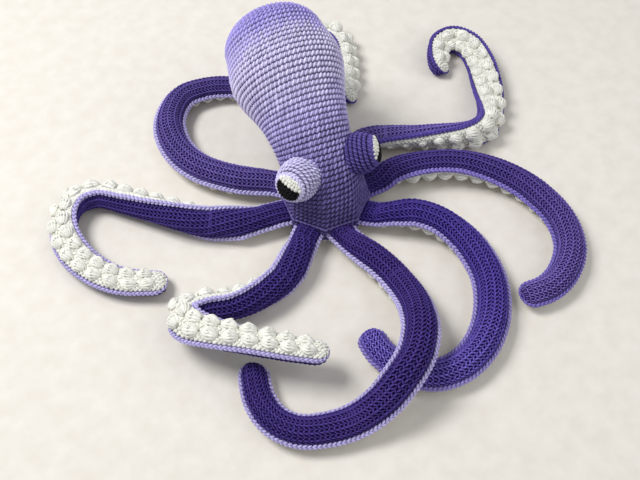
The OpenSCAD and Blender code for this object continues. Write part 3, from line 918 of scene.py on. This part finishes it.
def top_stitches(line, first, last):
    """Rows of single crochet over the top of an arm: ridges along it with a low groove between
    each two, and on either side of the groove posts that slant in opposite ways."""
    chunks = []
    for k in range(2 * top_rows + 1):
        row, post = divmod(k, 2)
        angle = math.pi * min(max(k / 2 / top_rows, seam_margin), 1 - seam_margin)
        s = arm_steps(line, first, last, arm_stitch, 0.5 * post)
        middle, along, across, out = ways_on(line, s, angle, stitch_inset)
        grown, tone = line.stitch_size(s), s / line.length
        if post:
            way = across + (post_slant if row % 2 else -post_slant) * along
            over, size, painted_light = post_leg
        else:
            way = along + row_slant * across
            over, size, painted_light = groove_leg if row % 2 else ridge_leg
        chunks.append(legs(middle + over * out, way, out, grown * size, tone, painted_light, top_shade_steepness))
    return chunks


def arm_backing(line, first, last, section, painted_light):
    """Fabric in painted shade inside a stretch of an arm, through a closed section of (b, n) points.
    """
    root_end, tip_gap, row_length, fewest_rows = -1, 0.3, 5, 6
    section = np.array(section + section[:1], float)
    first, last = max(first, root_end), min(last, line.length - tip_gap)
    corners = np.arange(len(section))

    def surface(across, along):
        spot = across * corners[-1]
        b, n = (np.interp(spot, corners, section[:, k]) for k in (0, 1))
        return line.at(first + along * (last - first), b, n)

    rows = max(fewest_rows, round((last - first) / row_length))
    tone = (first + last) / 2 / line.length
    return tube_backing(surface, corners[-1], rows, tone, painted_light)


top_inset, section_points, section_margin = 2.2, 13, 0.02
section_angles = np.linspace(section_margin, math.pi - section_margin, section_points)
top_section = [arm_section(angle, top_inset) for angle in section_angles]
# Tint of painted shade down between the stitches of the arms.
arm_gap_shade = (0.22, 0.15, 0.4, 1)
arm_yarns = {
    "right_arm_1": [(0.0, paint(80, 61, 141)), (1.0, paint(87, 68, 150))],
    "right_arm_2": [(0.0, paint(77, 60, 140)), (1.0, paint(82, 64, 143))],
    "right_arm_3": [(0.0, paint(83, 66, 146)), (1.0, paint(87, 69, 150))],
    "right_arm_4": [(0.0, paint(124, 108, 183)), (1.0, paint(115, 98, 174))],
    "left_arm_1": [
        (0.0, paint(84, 66, 159)), (0.5, paint(101, 82, 178)), (1.0, paint(154, 136, 234)),
    ],
    "left_arm_2": [
        (0.0, paint(85, 69, 146)), (0.5, paint(102, 84, 164)), (1.0, paint(145, 126, 206)),
    ],
    "left_arm_3": [
        (0.0, paint(154, 138, 213)), (0.4, paint(131, 113, 192)), (1.0, paint(115, 97, 177)),
    ],
    "left_arm_4": [(0.0, paint(122, 104, 185)), (1.0, paint(122, 104, 185))],
}
for name, line in arm_lines.items():
    yarn = yarn_finish(f"{name}_yarn", arm_yarns[name], arm_gap_shade)
    slot = "bright_arm" if name in ("left_arm_2", "left_arm_3", "left_arm_4") else "dark_arm"
    for stretch in line.stretches():
        part, first, last = stretch
        chunks = top_stitches(line, first, last)
        # The backing under the top's stitches is painted in full shade.
        chunks.append(arm_backing(line, first, last, top_section, painted_light=0.0))
        made = piece(f"{name}_{part}_top_stitches", chunks, yarn)
        mount_stretch(made, name, stretch, ("top", "stuffing"))

# The undersides are flat panels of off-white yarn sewn to the tops, worked in short rows, with
# two rows of bobbles for suckers. A bobble is a cluster of long loops, drawn together at both
# ends so that it swells into a ball.
belly_rows, belly_stitch, belly_slant, belly_leg = 9, 4.1, 0.7, (5.6, 3.7, 2.6)
# A bobble: half its length and half its width, how far it lies from the underside's middle, how
# far the two of a pair are staggered, and how crooked it lies
sucker_length, sucker_width, sucker_side, sucker_stagger, crookedness = 8.8, 7.7, 6.5, 2, 0.25
# Its loops: how many, how far they fan to either side, where the middle of each half is, how deep
# it lies, and its size as shares of the bobble's
loops, loop_fan, loop_angle, loop_depth, half_loop = 7, 78, math.radians(31), 0.84, (1.4, 0.5, 0.42)
# Length from the root at which the bobbles have grown to their full size
full_from = {name: 60 for name in arm_lines}
full_from["left_arm_3"] = 160


def belly_stitches(line, first, last):
    """Small knobby stitches between the suckers."""
    chunks = []
    for k in range(belly_rows):
        angle = math.pi * (1 + (k + 0.5) / belly_rows)
        s = arm_steps(line, first, last, belly_stitch, 0.5 * (k % 2))
        middle, along, across, out = ways_on(line, s, angle, stitch_inset)
        slant = belly_slant if k % 2 else -belly_slant
        size = line.stitch_size(s) * belly_leg
        chunks.append(legs(middle, along + slant * across, out, size, mid_tone))
    return chunks


def sucker_lengths(line):
    """Lengths of the pairs of suckers: half way between the rings of the solids."""
    ends = [root_round, line.length - tip_round]
    if line.joint is not None:
        ends.insert(1, line.joint)
    found = []
    for first, last in zip(ends, ends[1:]):
        count = round((last - first) / sucker_pitch)
        found += list(first + (last - first) * (np.arange(count) + 0.5) / count)
    return np.array(found)


def suckers(line, first, last, full):
    """Bobbles: loops that run over a ball from one end to the other. They are buds at the root,
    full grown at the length full, and a little smaller towards the tip."""
    bud_until, bud_size, width_loss, length_loss = 0.6, 0.45, 0.12, 0.1
    # The core under the loops is painted in a little shade.
    core_share, core_tone, core_painted_light, loop_tone, floor_room = 1.9, 0.3, 0.75, 0.6, 1.06
    loop_cos, loop_sin = math.cos(loop_angle), math.sin(loop_angle)
    chunks = []
    s = sucker_lengths(line)
    s = s[(s >= first) & (s < last)]
    bud = np.interp(s / full, (bud_until, 1), (bud_size, 1))
    long = (1 - length_loss * s / line.length) * bud * sucker_length
    wide = line.taper(s) * (1 - width_loss * s / line.length) * bud * sucker_width
    radii = np.stack([long, wide, wide], 1)
    for side in (-1, 1):
        middle = line.at(s + sucker_stagger * side, side * sucker_side, sucker_width - deep)
        middle[:, 2] = np.maximum(middle[:, 2], floor_room * wide)
        out = unit(line.at(s, 0, -1) - line.at(s, 0, 0))
        along = unit(line.at(s + 1, 0, 0) - line.at(s - 1, 0, 0))
        crooked = crookedness * rng.standard_normal((len(s), 1))
        along = unit(along + crooked * np.cross(out, along))
        across = np.cross(out, along)
        chunks.append(legs(middle, along, out, core_share * radii, core_tone, core_painted_light))
        for k in range(loops):
            turn = math.radians(loop_fan * (2 * k / (loops - 1) - 1))
            crown = math.cos(turn) * out + math.sin(turn) * across
            for end in (-1, 1):
                ball_way = loop_cos * crown + end * loop_sin * along
                spot = middle + loop_depth * (
                    loop_cos * radii[:, 1:2] * crown + end * loop_sin * radii[:, :1] * along
                )
                way = loop_cos * along - end * loop_sin * crown
                chunks.append(legs(spot, way, ball_way, radii * half_loop, loop_tone))
    return chunks


belly_inset = 1.3
belly_section = [arm_section(math.pi + angle, belly_inset) for angle in section_angles]
for name, line in arm_lines.items():
    for stretch in line.stretches():
        part, first, last = stretch
        chunks = belly_stitches(line, first, last)
        chunks += suckers(line, first, last, full_from[name])
        # The backing under the belly's stitches is painted in half shade.
        chunks.append(arm_backing(line, first, last, belly_section, painted_light=0.5))
        made = piece(f"{name}_{part}_underside_stitches", chunks, white_yarn)
        mount_stretch(made, name, stretch, ("underside",))

# A chain of slip stitches covers the seam between each top and underside, pale lilac on most
# arms and darker on the left ones. It runs down one side of the arm, round its tip and back,
# as a braid of slanted legs.
pale_lilac = [(0.0, paint(202, 195, 240)), (1.0, paint(198, 190, 238))]
edging_yarns = {
    "left_arm_1": [(0.0, paint(186, 176, 232)), (1.0, paint(156, 143, 214))],
    "left_arm_2": [(0.0, paint(150, 136, 214)), (1.0, paint(140, 125, 208))],
    "left_arm_3": [(0.0, paint(104, 88, 176)), (1.0, paint(96, 80, 168))],
    "left_arm_4": [(0.0, paint(104, 88, 176)), (1.0, paint(96, 80, 168))],
}
# Tint of painted shade down between the legs of the braid.
edging_gap_shade = (0.36, 0.31, 0.46, 1)
edging_stitch = 4.2
# Lanes of the braid: how far out of the seam, how high over it, the slant of its legs, and the
# angle at which they face up from the edge
edging_lanes = [
    (15.2, 1.8, 0.55, math.radians(65)),
    (16.9, 0.4, -0.55, math.radians(10)),
    (15.7, -1.4, 0.55, math.radians(-55)),
]
edging_leg = (5.4, 2.6, 2.5)
edging_section = [(12.8, 1.6), (16.2, 1.2), (16.8, 0.2), (16.0, -1.4), (12.8, -1.0)]


def points_at(edge, run, places):
    """Points at places along an edge, whose length up to each of its points is run."""
    return np.stack([np.interp(places, run, edge[:, k]) for k in range(3)], 1)


def edging_legs(line, first, last):
    """Legs of the braid round the whole edge of an arm that lie between two lengths."""
    root_end, step, over_seam = -1, 0.5, 5
    chunks = []
    there = np.arange(root_end, line.length, step)
    s = np.concatenate([there, there[::-1]])
    side = np.repeat([1.0, -1.0], len(there))
    for reach, over, slant, facing in edging_lanes:
        edge = line.at(s, side * reach, over)
        run = lengths_along(edge)
        count = round(run[-1] / edging_stitch)
        places = (np.arange(count) + 0.5) * run[-1] / count
        spots = np.interp(places, run, s)
        here = (spots >= first) & (spots < last)
        places, spots = places[here], spots[here]
        middle = points_at(edge, run, places)
        along = unit(points_at(edge, run, places + 1) - points_at(edge, run, places - 1))
        inner = np.minimum(spots, line.length - tip_clear)
        up = unit(line.at(inner, 0, over_seam) - line.at(inner, 0, 0))
        away = unit(np.cross(up, along))
        out = math.cos(facing) * away + math.sin(facing) * up
        way = along + slant * np.cross(out, along)
        size = line.taper(spots)[:, None] * edging_leg
        chunks.append(legs(middle, way, out, size, spots / line.length))
    for hand in (1, -1):
        section = [(hand * b, n) for b, n in edging_section]
        # The backing under the braid is painted in shade.
        chunks.append(arm_backing(line, first, last, section, painted_light=0.3))
    return chunks


for name, line in arm_lines.items():
    yarn = yarn_finish(f"{name}_edging_yarn", edging_yarns.get(name, pale_lilac), edging_gap_shade)
    for stretch in line.stretches():
        part, first, last = stretch
        chunks = edging_legs(line, first, last)
        made = piece(f"{name}_{part}_edging_chain", chunks, yarn)
        mount_stretch(made, name, stretch, ("edging",))
